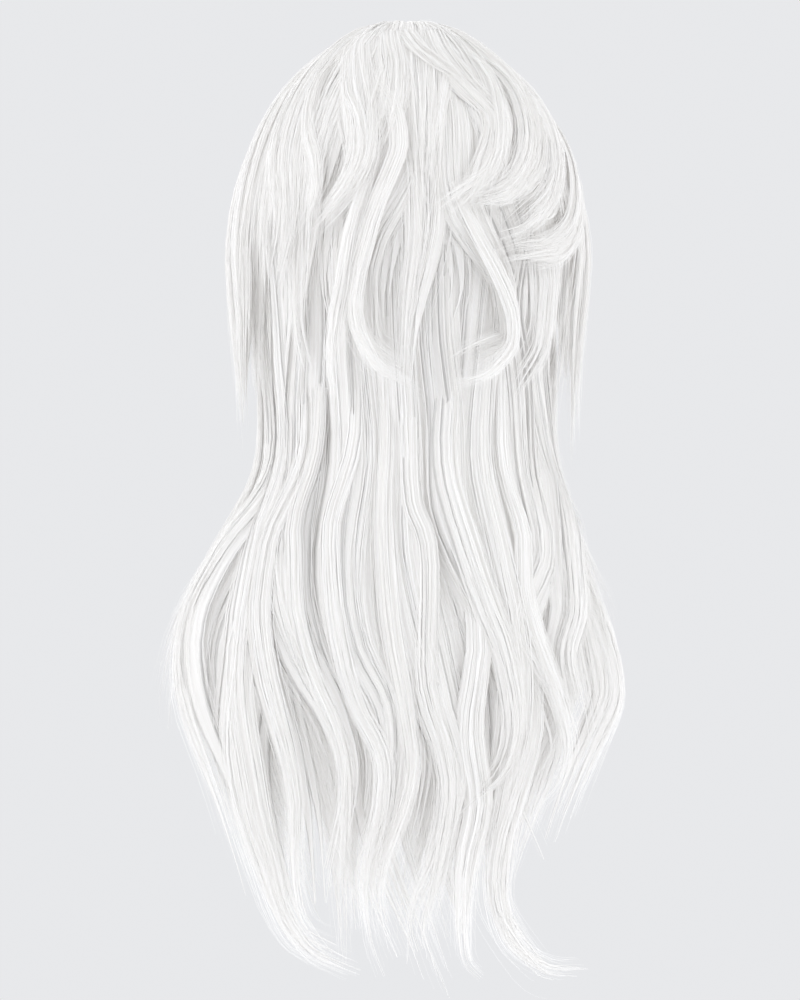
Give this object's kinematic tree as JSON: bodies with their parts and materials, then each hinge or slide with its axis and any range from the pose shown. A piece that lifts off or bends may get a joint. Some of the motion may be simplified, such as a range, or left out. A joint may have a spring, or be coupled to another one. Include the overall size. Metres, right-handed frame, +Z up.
{
  "type": "lace front wig",
  "caption": "Long layered wavy wig: a stretch net cap with a lace front and an edge band, and rows of wefted and hand-tied hair parted in the middle.",
  "frame": {"origin": "the point inside the cap, at the crown, where the wearer's head bears", "axes": "+Z up, -Y the way the wearer faces, +X the wearer's left"},
  "size_m": [0.2843, 0.2309, 0.592],
  "materials": {
    "hair": "white straight-lustre fibre, smooth and softly shiny",
    "net": "fine stretch net",
    "lace": "sheer hexagonal lace",
    "band": "soft elastic binding"
  },
  "bodies": {
    "root": {"cap_net": "net", "lace_front": "lace", "edge_band": "band", "weft_nape": "hair", "weft_back_low": "hair", "weft_side_left": "hair", "weft_side_right": "hair", "weft_back_high": "hair", "crown_layer": "hair", "top_left": "hair", "top_right": "hair", "front_left": "hair", "front_right": "hair"}
  },
  "joints": []
}
